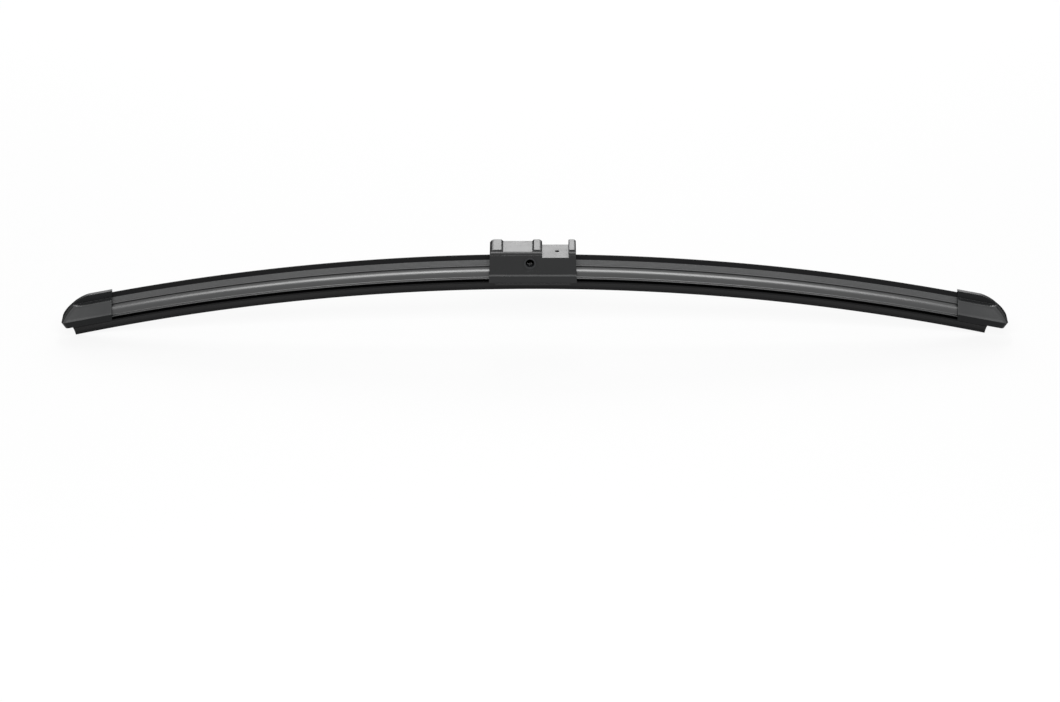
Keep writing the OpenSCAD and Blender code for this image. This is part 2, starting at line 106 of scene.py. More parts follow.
class WiperSpoilerSizes(bpy.types.PropertyGroup):
    """Section of the spoilers, as widths and heights over the rails."""
    fin_tip: length("Fin tip", "Thickness of the fin at its tip", 0.9)
    fin_foot: length("Fin foot", "Thickness of the fin at its foot", 1.6)
    fin_height: length("Fin height", "Height of the fin's tip", 11.4)
    fin_foot_height: length("Fin foot height", "Height of the fin's foot", 8.6)
    platform_width: length("Platform width", "Width of the soft platform", 7.8)
    platform_height: length("Platform height", "Height of the platform's outer edge", 6.0)
    platform_edge: length("Platform edge", "Thickness of the platform's edge", 0.4)
    seam_depth: length("Seam depth", "Depth of the groove between soft and hard", 0.45)
    shoulder_gap: length("Shoulder gap", "Width between the shoulders' upper edges", 8.0)
    shoulder_height: length("Shoulder height", "Height of the shoulders' upper edges", 4.85)
    flank_width: length("Flank width", "Width over the flanks", 11.9)
    flank_height: length("Flank height", "Height where the flanks turn into the shoulders", 0.8)
    lip_width: length("Lip width", "Width over the lips of the claws", 14.0)
    lip_height: length("Lip height", "Thickness of the lips at their edges", 0.35)
    lip_rise: length("Lip rise", "Rise of the lips towards the flanks", 0.45)
    foot_drop: length("Foot drop", "Depth of the claws' underside", 1.25)
    slot_height: length("Slot height", "Half the height of the rails' slot", 0.5)
    slot_width: length("Slot width", "Width of the rails' slot", 10.9)
    mouth_width: length("Mouth width", "Width between the claws under the rails", 8.4)
    channel_width: length("Channel width", "Width of the channel for the rubber's head", 5.8)
    channel_height: length("Channel height", "Height of the channel for the rubber's head", 2.65)
    ridge_count: IntProperty(name="Ridges", description="Fine ridges on each platform", default=5, min=2)
    ridge_height: length("Ridge height", "Height of the two outer ridges", 0.12)
    ridge_width: length("Ridge width", "Width of the two outer ridges", 0.55)
    lip_cove: length("Lip cove", "Radius of the cove between flank and lip", 0.5)


class WiperRubberSizes(bpy.types.PropertyGroup):
    """Section of the wiping rubber, as widths and heights over the rails."""
    strip_length: length("Length", "Length of the rubber along the bow", 550.0)
    head_width: length("Head width", "Width of the head over the rails", 5.6)
    head_top: length("Head top", "Height of the head", 2.55)
    head_chamfer: length("Head chamfer", "Chamfer of the head", 0.6)
    neck: length("Neck", "Thickness of the neck between the rails", 1.1)
    slot: length("Slot", "Half the height of the rails' grooves", 0.5)
    bar_width: length("Bar width", "Width of the bar under the rails", 5.2)
    bar_drop: length("Bar drop", "Depth of the bar's underside", 1.6)
    web: length("Web", "Thickness of the web that lets the lip tilt", 1.0)
    wedge_width: length("Wedge width", "Width of the wedge's shoulder", 6.4)
    wedge_drop: length("Wedge drop", "Depth of the wedge's shoulder", 4.6)
    wedge_shoulder: length("Wedge shoulder", "Height of the wedge's shoulder", 1.0)
    waist: length("Waist", "Width just under the shoulder", 4.6)
    bar_slope: length("Bar slope", "How much the bar's underside falls towards the web", 0.3)
    wedge_slope: length("Wedge slope", "How much the wedge rises towards the web", 0.5)
    waist_slope: length("Waist slope", "How much the shoulder falls towards the waist", 0.25)
    lip: length("Lip", "Thickness of the wiping lip at its edge", 0.7)
    lip_root: length("Lip root", "Thickness of the lip where it leaves the wedge", 1.4)
    lip_height: length("Lip height", "Height of the lip under the wedge", 2.0)
    lip_drop: length("Lip drop", "Depth of the lip's edge", 10.7)


class WiperCapSizes(bpy.types.PropertyGroup):
    """Form of the end caps, as widths and heights over the rails."""
    start: length("Start", "Distance along the rails from the crown to the caps' inner ends", 252.6)
    reach: length("Length", "Length of each cap", 30.6)
    edge_width: length("Edge width", "Width at the widest edge", 17.2)
    edge_height: length("Edge height", "Height of the widest edge", 0.7)
    foot_width: length("Foot width", "Width of the underside", 14.8)
    foot_drop: length("Foot drop", "Depth of the underside", 3.4)
    ledge_width: length("Ledge width", "Width between the outer edges of the ledges", 11.2)
    ledge_height: length("Ledge height", "Height of the ledges' outer edges", 8.4)
    fin_foot: length("Fin foot", "Width of the fin at its foot", 3.8)
    fin_foot_height: length("Fin foot height", "Height where the fin meets the ledges", 8.8)
    fin_top: length("Fin top", "Width of the fin at its top", 3.2)
    height: length("Height", "Height of the fin", 12.7)
    nose_radius: length("Nose radius", "Radius of the nose, seen from the side", 26.0)
    nose_start: length("Nose start", "Distance from the inner end at which the nose starts to fall", 12.0)
    tip_lean: length("Tip lean", "How far the tip leans back under its widest edge", 1.4)
    tip_corner: length("Tip corner", "Corner radius of the tip, seen from above", 2.5)
    play: length("Play", "Play round the spoiler", 0.15)
    spoiler_depth: length("Spoiler depth", "Depth of the socket for the spoiler", 6.3)
    rail_end: length("Rail end", "Distance along the rails to the end of their slot", 269.3)
    rubber_depth: length("Rubber depth", "Depth of the channel for the rubber", 27.6)
    rubber_play: length("Rubber play", "Play round the rubber", 0.3)
    rim: length("Rim", "Width of the raised rim round each side panel", 0.3)
    slope: length("Slope", "Width of the slope from the rim down to the panel", 0.55)
    sink: length("Sink", "How deep each panel lies in its rim", 0.2)


class WiperBushSizes(bpy.types.PropertyGroup):
    """The pair of bushes in the pin bore."""
    bore: length("Bore", "Diameter of the pin bore", 4.9)
    chamfer: length("Chamfer", "Chamfer at the bore's mouth", 0.3)
    flange: length("Flange", "Diameter of the flange", 7.4)
    flange_thickness: length("Flange thickness", "Thickness of the flange", 1.0)
    outside: length("Outside", "Outer diameter of the bush", 6.4)
    depth: length("Depth", "Length of each bush", 4.7)
    face: length("Face", "Distance from the mid-plane to the flange's face", 10.5)


class WiperFinish(bpy.types.PropertyGroup):
    """Colours of the finishes, as sRGB hex values."""
    rubber: tone("Rubber", "Graphite-coated wiping rubber", "#101011")
    hard_base: tone("Hard base", "Gloss co-extruded plastic", "#151617")
    platform: tone("Platform", "Ribbed satin top of the spoilers", "#18191a")
    soft_fin: tone("Soft fin", "Dull co-extruded elastomer", "#0e0e0f")
    end_cap: tone("End cap", "Smooth moulding", "#111213")
    cap_panel: tone("Cap panel", "Spark-eroded side panels of the caps", "#232425")
    housing: tone("Housing", "Satin moulding", "#131415")
    base: tone("Base", "Plain moulding under the housing", "#121212")
    bush: tone("Bush", "Smooth bearing plastic", "#1d1e20")
    rail: tone("Rail", "Rolled spring steel", "#8d9296")
    floor: tone("Floor", "Pale studio floor", "#f4f4f4")


class WiperStudio(bpy.types.PropertyGroup):
    """Camera, floor and black card."""
    elevation: FloatProperty(name="Elevation", description="Height angle of the camera",
                             default=math.radians(23.0), subtype="ANGLE")
    distance: length("Distance", "Distance from the camera to the blade", 3000.0)
    pixels_per_mm: FloatProperty(name="Pixels per mm", description="Scale of the photograph",
                                 default=1.682)
    near_face: length("Near face", "Distance from the mid-plane to the connector's side", 10.5)
    floor_size: length("Floor size", "Side of the square floor", 9000.0)
    card_length: length("Card length", "Length of the black card behind the blade", 1400.0)
    card_start: length("Card start", "Distance from the mid-plane to the card's near edge", 14.0)
    card_distance: length("Card distance", "Distance from the mid-plane to the card's upright part", 500.0)
    card_height: length("Card height", "Height of the card's upper edge over the pin bore", 105.0)


# Colours and shader nodes

def srgb(hex_value):
    """Linear colour with full alpha of an sRGB hex value."""
    channels = [int(hex_value[i:i + 2], 16) / 255 for i in (1, 3, 5)]
    linear = [c / 12.92 if c <= 0.04045 else ((c + 0.055) / 1.055) ** 2.4 for c in channels]
    return (*linear, 1.0)


def add(tree, kind, inputs=None, **settings):
    """Adds a node, sets its settings, and fills or links its inputs.

    A node that is given as an input is linked by its first output.
    """
    made = tree.nodes.new(kind)
    for name, value in settings.items():
        setattr(made, name, value)
    for socket, value in (inputs or {}).items():
        if isinstance(value, bpy.types.Node):
            value = value.outputs[0]
        if isinstance(value, bpy.types.NodeSocket):
            tree.links.new(value, made.inputs[socket])
        else:
            made.inputs[socket].default_value = value
    return made


def new_material(name):
    """An empty node material and its tree."""
    material = bpy.data.materials.new(name)
    material.use_nodes = True
    material.node_tree.nodes.clear()
    return material, material.node_tree


def finish_material(tree, shader):
    """Joins a shader to the material's output."""
    add(tree, "ShaderNodeOutputMaterial", {"Surface": shader})


def seen_directly(tree):
    """A node that gives 1 to the camera, in gloss and through glass, and 0 to soft light."""
    rays = add(tree, "ShaderNodeLightPath")
    camera_or_gloss = add(tree, "ShaderNodeMath", {0: rays.outputs["Is Camera Ray"],
                          1: rays.outputs["Is Glossy Ray"]}, operation="MAXIMUM")
    return add(tree, "ShaderNodeMath", {0: camera_or_gloss, 1: rays.outputs["Is Transmission Ray"]},
               operation="MAXIMUM")


def extruded_material(name, colour, roughness, line_spacing, line_depth, specular):
    """An extruded surface: fine die lines that run along the bow, and slow waves in its gloss.

    The sweep writes its UVs in metres, U along the bow and V round the section.
    """
    line_stretch = 60
    line_gloss = 0.12
    wave_length = 45 * MM
    wave_stretch = 6.0
    material, tree = new_material(name)
    place = add(tree, "ShaderNodeUVMap", uv_map="bow")
    # Die lines are noise drawn out along the blade
    drawn = add(tree, "ShaderNodeMapping", {"Vector": place, "Scale": (1 / line_stretch, 1.0, 1.0)})
    lines = add(tree, "ShaderNodeTexNoise", {"Vector": drawn, "Scale": 1 / line_spacing,
                "Detail": 3.0, "Roughness": 0.6})
    # The haul-off leaves slow waves, some centimetres long
    squeezed = add(tree, "ShaderNodeMapping", {"Vector": place, "Scale": (1.0, wave_stretch, 1.0)})
    waves = add(tree, "ShaderNodeTexNoise", {"Vector": squeezed, "Scale": 1 / wave_length,
                "Detail": 2.0})
    slow_gloss = add(tree, "ShaderNodeMapRange", {"Value": waves, **NOISE_RANGE,
                     "To Min": roughness * 0.88, "To Max": roughness * 1.14})
    gloss = add(tree, "ShaderNodeMath", {0: lines, 1: line_gloss, 2: slow_gloss},
                operation="MULTIPLY_ADD")
    shade = add(tree, "ShaderNodeMapRange", {"Value": lines, **NOISE_RANGE,
                "To Min": 0.86, "To Max": 1.12})
    tint = add(tree, "ShaderNodeVectorMath", {0: srgb(colour)[:3], "Scale": shade}, operation="SCALE")
    bump = add(tree, "ShaderNodeBump", {"Strength": 0.35, "Distance": line_depth, "Height": lines})
    finish_material(tree, add(tree, "ShaderNodeBsdfPrincipled", {
        "Base Color": tint, "Roughness": gloss, "Specular IOR Level": specular, "IOR": 1.5,
        "Normal": bump}))
    return material


def moulded_material(name, colour, roughness, grain, depth, specular=0.5, edge_radius=0.1 * MM):
    """A moulded surface: the tool's fine grain, faint flow marks in its gloss, and soft edges."""
    flow_length = 9 * MM
    material, tree = new_material(name)
    place = add(tree, "ShaderNodeTexCoord").outputs["Object"]
    grains = add(tree, "ShaderNodeTexNoise", {"Vector": place, "Scale": 1 / grain,
                 "Detail": 4.0, "Roughness": 0.65})
    flow = add(tree, "ShaderNodeTexNoise", {"Vector": place, "Scale": 1 / flow_length,
               "Detail": 2.0, "Distortion": 0.6})
    gloss = add(tree, "ShaderNodeMapRange", {"Value": flow, **NOISE_RANGE,
                "To Min": roughness * 0.9, "To Max": roughness * 1.1})
    shade = add(tree, "ShaderNodeMapRange", {"Value": flow, **NOISE_RANGE,
                "To Min": 0.93, "To Max": 1.07})
    tint = add(tree, "ShaderNodeVectorMath", {0: srgb(colour)[:3], "Scale": shade}, operation="SCALE")
    edges = add(tree, "ShaderNodeBevel", {"Radius": edge_radius}, samples=6)
    bump = add(tree, "ShaderNodeBump", {"Strength": 0.4, "Distance": depth, "Height": grains,
               "Normal": edges})
    finish_material(tree, add(tree, "ShaderNodeBsdfPrincipled", {
        "Base Color": tint, "Roughness": gloss, "Specular IOR Level": specular, "IOR": 1.5,
        "Normal": bump}))
    return material


def rolled_steel_material(colour):
    """Cold-rolled spring steel: bare metal with fine rolling lines along X."""
    line_spacing = 0.12 * MM
    line_stretch = 50
    material, tree = new_material("spring_steel_cold_rolled")
    place = add(tree, "ShaderNodeTexCoord").outputs["Object"]
    drawn = add(tree, "ShaderNodeMapping", {"Vector": place, "Scale": (1 / line_stretch, 1.0, 1.0)})
    lines = add(tree, "ShaderNodeTexNoise", {"Vector": drawn, "Scale": 1 / line_spacing,
                "Detail": 3.0})
    gloss = add(tree, "ShaderNodeMapRange", {"Value": lines, **NOISE_RANGE,
                "To Min": 0.26, "To Max": 0.42})
    bump = add(tree, "ShaderNodeBump", {"Strength": 0.3, "Distance": 0.004 * MM, "Height": lines})
    finish_material(tree, add(tree, "ShaderNodeBsdfPrincipled", {
        "Base Color": srgb(colour), "Metallic": 1.0, "Roughness": gloss, "Normal": bump}))
    return material


# Mesh helpers

def link(name, mesh, materials):
    """Puts a mesh in the scene as a piece with its materials."""
    piece = bpy.data.objects.new(name, mesh)
    bpy.context.scene.collection.objects.link(piece)
    for material in materials:
        mesh.materials.append(material)
    return piece


def finished_mesh(mesh_builder, name):
    """The builder's faces as a mesh, all pointing outwards."""
    bmesh.ops.recalc_face_normals(mesh_builder, faces=mesh_builder.faces)
    mesh = bpy.data.meshes.new(name)
    mesh_builder.to_mesh(mesh)
    mesh_builder.free()
    return mesh


def rounded(corners, steps=4):
    """Outline with each corner, given as (y, z, radius, slot), turned into an arc."""
    nearly_straight = math.radians(175)
    # An arc takes less than half of each side of its corner
    most = 0.46
    outline = []
    count = len(corners)
    for i, (y, z, radius, slot) in enumerate(corners):
        here = Vector((y, z))
        back = Vector(corners[i - 1][:2]) - here
        ahead = Vector(corners[(i + 1) % count][:2]) - here
        opening = back.angle(ahead)
        if radius <= 0 or opening > nearly_straight:
            outline.append((y, z, slot))
            continue
        reach = min(radius / math.tan(opening / 2), most * back.length, most * ahead.length)
        radius = reach * math.tan(opening / 2)
        start = here + back.normalized() * reach
        end = here + ahead.normalized() * reach
        middle = here + (back.normalized() + ahead.normalized()).normalized() * (
            radius / math.sin(opening / 2))
        for step in range(steps + 1):
            spoke = (start - middle).lerp(end - middle, step / steps).normalized() * radius
            outline.append((*(middle + spoke), slot))
    return outline


def both_sides(half):
    """A half outline, from top to bottom on the +Y side, and its mirror image.

    Each corner is (y, z, radius, slot), and its slot is that of the stretch below it.
    """
    slots_above = [half[0][3]] + [slot for _, _, _, slot in half[:-1]]
    mirrored = [(-y, z, radius, above) for (y, z, radius, _), above in zip(half, slots_above)]
    return half + mirrored[::-1]


def swept(name, outline, turns, materials):
    """Sweeps a section along the bow and closes its ends. Turns are radians from the crown."""
    bow = bpy.context.scene.wiper_bow
    span = (turns[1] - turns[0]) * bow.radius
    rings = max(2, round(span * bow.steps_per_metre))
    around = [0.0]
    for (y0, z0, _), (y1, z1, _) in zip(outline, outline[1:] + outline[:1]):
        around.append(around[-1] + math.hypot(y1 - y0, z1 - z0))
    mesh_builder = bmesh.new()
    uv_layer = mesh_builder.loops.layers.uv.new("bow")
    grid = []
    for ring in range(rings + 1):
        turn = turns[0] + (turns[1] - turns[0]) * ring / rings
        grid.append([mesh_builder.verts.new((
            bow.crown + (bow.radius + z) * math.sin(turn),
            y,
            -bow.drop - bow.radius + (bow.radius + z) * math.cos(turn),
        )) for y, z, _ in outline])
    count = len(outline)
    for ring in range(rings):
        along = (ring * span / rings, (ring + 1) * span / rings)
        for i in range(count):
            j = (i + 1) % count
            face = mesh_builder.faces.new(
                (grid[ring][i], grid[ring][j], grid[ring + 1][j], grid[ring + 1][i]))
            face.material_index = outline[i][2]
            face.smooth = True
            corners = ((0, i), (0, i + 1), (1, i + 1), (1, i))
            for loop, (end, place) in zip(face.loops, corners):
                loop[uv_layer].uv = (along[end], around[place])
    for ring in (0, rings):
        end_face = mesh_builder.faces.new(grid[ring])
        end_face.material_index = 0
        for loop, (y, z, _) in zip(end_face.loops, outline):
            loop[uv_layer].uv = (y, z)
    mesh = finished_mesh(mesh_builder, name)
    mesh.set_sharp_from_angle(angle=SHARP_ANGLE)
    return link(name, mesh, materials)


def turned(name, profile, matrix, materials, steps=96):
    """Turns a closed profile of (radius, depth) about its axis, and places it."""
    mesh_builder = bmesh.new()
    rings = []
    for step in range(steps):
        turn = 2 * math.pi * step / steps
        rings.append([mesh_builder.verts.new((r * math.cos(turn), r * math.sin(turn), d))
                      for r, d in profile])
    for step in range(steps):
        here, there = rings[step], rings[(step + 1) % steps]
        for i in range(len(profile)):
            j = (i + 1) % len(profile)
            mesh_builder.faces.new((here[i], here[j], there[j], there[i])).smooth = True
    bmesh.ops.transform(mesh_builder, matrix=matrix, verts=mesh_builder.verts)
    mesh = finished_mesh(mesh_builder, name)
    mesh.set_sharp_from_angle(angle=SHARP_ANGLE)
    return link(name, mesh, materials)


def cut(piece, cutters):
    """Takes the cutters' forms out of a piece, marks its sharp edges and removes the cutters."""
    for cutter in cutters:
        socket = piece.modifiers.new(cutter.name, "BOOLEAN")
        socket.operation = "DIFFERENCE"
        socket.solver = "EXACT"
        socket.object = cutter
    bpy.context.view_layer.update()
    cut_piece = piece.evaluated_get(bpy.context.evaluated_depsgraph_get())
    mesh = bpy.data.meshes.new_from_object(cut_piece)
    piece.modifiers.clear()
    piece.data = mesh
    mesh.name = piece.name
    mesh.set_sharp_from_angle(angle=CAP_SHARP_ANGLE)
    for cutter in cutters:
        bpy.data.objects.remove(cutter)


def between(place, table):
    """Value at a place in a table of (place, value), in straight lines."""
    for (low, start), (high, end) in zip(table, table[1:]):
        if place <= high:
            return start + (end - start) * (place - low) / (high - low)
    return table[-1][1]


def shoulder_arc(s, steps, play=0.0):
    """Points (y, z) of the spoilers' round shoulder from its top to the flank, moved out by a play."""
    inward = (s.flank_width - s.shoulder_gap) / 2
    rise = s.shoulder_height - s.flank_height
    radius = (inward ** 2 + rise ** 2) / (2 * inward)
    turns = [math.asin(rise / radius) * step / steps for step in range(steps, -1, -1)]
    return [(s.flank_width / 2 - radius + (radius + play) * math.cos(turn),
             s.flank_height + (radius + play) * math.sin(turn)) for turn in turns]


def finish_node(node, material):
    """Gives a node that keeps its own mesh a new finish."""
    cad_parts[node].data.materials.clear()
    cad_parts[node].data.materials.append(material)


def hand_over(piece, node):
    """The piece rides on the blade in place of its node, which is hidden."""
    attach(piece, "root")
    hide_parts(node)


# Pieces

class WIPER_OT_spoilers(bpy.types.Operator):
    """Sweeps the two spoilers: gloss claws and shoulders, satin platform and fin"""
    bl_idname = "wiper.spoilers"
    bl_label = "Spoilers"

    def execute(self, context):
        s = context.scene.wiper_spoiler
        bow = context.scene.wiper_bow
        finish = context.scene.wiper_finish
        # Gloss ABS leaves the die smooth, so its shoulder mirrors the lamps in one long line
        hard = extruded_material("abs_extruded_gloss", finish.hard_base, roughness=0.24,
                                 line_spacing=1.1 * MM, line_depth=0.002 * MM, specular=1.0)
        # The platform is drawn through a ribbed die, which turns the gloss to an even satin
        satin = extruded_material("tpe_extruded_satin", finish.platform, roughness=0.34,
                                  line_spacing=0.5 * MM, line_depth=0.004 * MM, specular=1.0)
        # The elastomer of the fin is filled with soot and nearly matt; on the face under the platform's
        # edge the same dark finish is painted shade in the seam
        dull_and_seam_shade = extruded_material("tpe_extruded_dull_and_seam_shade", finish.soft_fin, roughness=0.4,
                                 line_spacing=0.5 * MM, line_depth=0.004 * MM, specular=0.12)
        outline = rounded(both_sides(self.half_section(s)))
        for name in ("spoiler_left", "spoiler_right"):
            low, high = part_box(name)
            turns = self.turns(bow, s, low, high)
            piece = swept(name + "_coextruded", outline, turns, [hard, satin, dull_and_seam_shade])
            hand_over(piece, name)
        return {"FINISHED"}

    @staticmethod
    def turns(bow, s, low, high):
        """Turns of the two ends, from the node's box: its top edge is the fin's tip."""
        tip = bow.radius + s.fin_height
        foot = bow.radius - s.foot_drop
        ends = []
        for x in (low.x, high.x):
            reach = x - bow.crown
            outermost = tip if (reach < 0) == (x == low.x) else foot
            ends.append(math.asin(reach / outermost))
        return ends

    @staticmethod
    def ridges(s):
        """Corners of the fine ridges on one platform, from the fin's foot outwards, as (y, z)."""
        # The inner ridges are this share of the outer two, and all have one outline
        inner_share = 0.35
        outline = ((-0.5, 0.0), (-0.25, 1.0), (0.25, 1.0), (0.5, 0.0))
        inner = Vector((s.fin_foot / 2, s.fin_foot_height))
        run = Vector((s.platform_width / 2, s.platform_height)) - inner
        out = Vector((-run.y, run.x)).normalized()
        margin = s.ridge_width / 2 + s.ridge_height
        room = run.length - 2 * margin
        corners = []
        for ridge in range(s.ridge_count):
            share = 1.0 if ridge in (0, s.ridge_count - 1) else inner_share
            centre = margin + room * ridge / (s.ridge_count - 1)
            for shift, lift in outline:
                along = centre + shift * share * s.ridge_width
                corners.append(inner + run.normalized() * along + out * lift * share * s.ridge_height)
        return corners

    def half_section(self, s):
        """Corners of the right half, as (y, z, corner radius, material slot)."""
        hard, satin, dull_and_seam_shade = 0, 1, 2
        foot = s.platform_height - s.platform_edge
        lip_top = s.lip_height - s.foot_drop
        half = [(s.fin_tip / 2, s.fin_height, 0.3 * MM, dull_and_seam_shade),
                (s.fin_foot / 2, s.fin_foot_height, 0.5 * MM, satin)]
        half += [(y, z, 0.08 * MM, satin) for y, z in self.ridges(s)]
        half += [(s.platform_width / 2, s.platform_height, 0.1 * MM, satin),
                 # The face under the platform's edge takes the fin's dark finish, as painted shade in the
                 # seam
                 (s.platform_width / 2, foot, 0.1 * MM, dull_and_seam_shade),
                 (s.platform_width / 2 - s.seam_depth, (foot + s.shoulder_height) / 2, 0.1 * MM, hard)]
        upper_edge, *below = shoulder_arc(s, steps=16)
        half.append((*upper_edge, 0.12 * MM, hard))
        half += [(y, z, 0.0, hard) for y, z in below]
        half += [(s.flank_width / 2, lip_top + s.lip_rise, s.lip_cove, hard),
                 (s.lip_width / 2, lip_top, 0.3 * MM, hard),
                 (s.lip_width / 2, -s.foot_drop, 0.1 * MM, hard),
                 (s.mouth_width / 2, -s.foot_drop, 0.1 * MM, hard),
                 (s.mouth_width / 2, -s.slot_height, 0.1 * MM, hard),
                 (s.slot_width / 2, -s.slot_height, 0.05 * MM, hard),
                 (s.slot_width / 2, s.slot_height, 0.05 * MM, hard),
                 (s.channel_width / 2, s.slot_height, 0.1 * MM, hard),
                 (s.channel_width / 2, s.channel_height, 0.2 * MM, hard)]
        return half


class WIPER_OT_rubber(bpy.types.Operator):
    """Sweeps the wiping rubber from its head down to its lip"""
    bl_idname = "wiper.rubber"
    bl_label = "Wiping rubber"

    def execute(self, context):
        s = context.scene.wiper_rubber
        bow = context.scene.wiper_bow
        # Graphite coating dulls the rubber to an even dark grey with long die lines
        material = extruded_material("natural_rubber_graphite_coated", context.scene.wiper_finish.rubber,
                                     roughness=0.34, line_spacing=0.5 * MM, line_depth=0.006 * MM,
                                     specular=0.14)
        waist_height = -s.wedge_drop - s.wedge_shoulder
        # Corners of the right half, each with its radius
        half = [
            (s.head_width / 2 - s.head_chamfer, s.head_top, 0.15 * MM),
            (s.head_width / 2, s.head_top - s.head_chamfer, 0.15 * MM),
            (s.head_width / 2, s.slot, 0.1 * MM),
            (s.neck / 2, s.slot, 0.1 * MM),
            (s.neck / 2, -s.slot, 0.1 * MM),
            (s.bar_width / 2, -s.slot, 0.15 * MM),
            (s.bar_width / 2, -s.bar_drop, 0.2 * MM),
            (s.web / 2, -s.bar_drop - s.bar_slope, 0.25 * MM),
            (s.web / 2, -s.wedge_drop + s.wedge_slope, 0.3 * MM),
            (s.wedge_width / 2, -s.wedge_drop, 0.18 * MM),
            (s.wedge_width / 2, waist_height, 0.18 * MM),
            (s.waist / 2, waist_height - s.waist_slope, 0.2 * MM),
            (s.lip_root / 2, -s.lip_drop + s.lip_height, 2.0 * MM),
            (s.lip / 2, -s.lip_drop, 0.0),
        ]
        outline = rounded(both_sides([(*corner, 0) for corner in half]))
        # The strip's middle lies under the pin bore, a little before the crown
        middle = -math.asin(bow.crown / bow.radius)
        half_turn = s.strip_length / 2 / bow.radius
        piece = swept("wiper_rubber_strip", outline, (middle - half_turn, middle + half_turn), [material])
        hand_over(piece, "wiper_rubber")
        return {"FINISHED"}


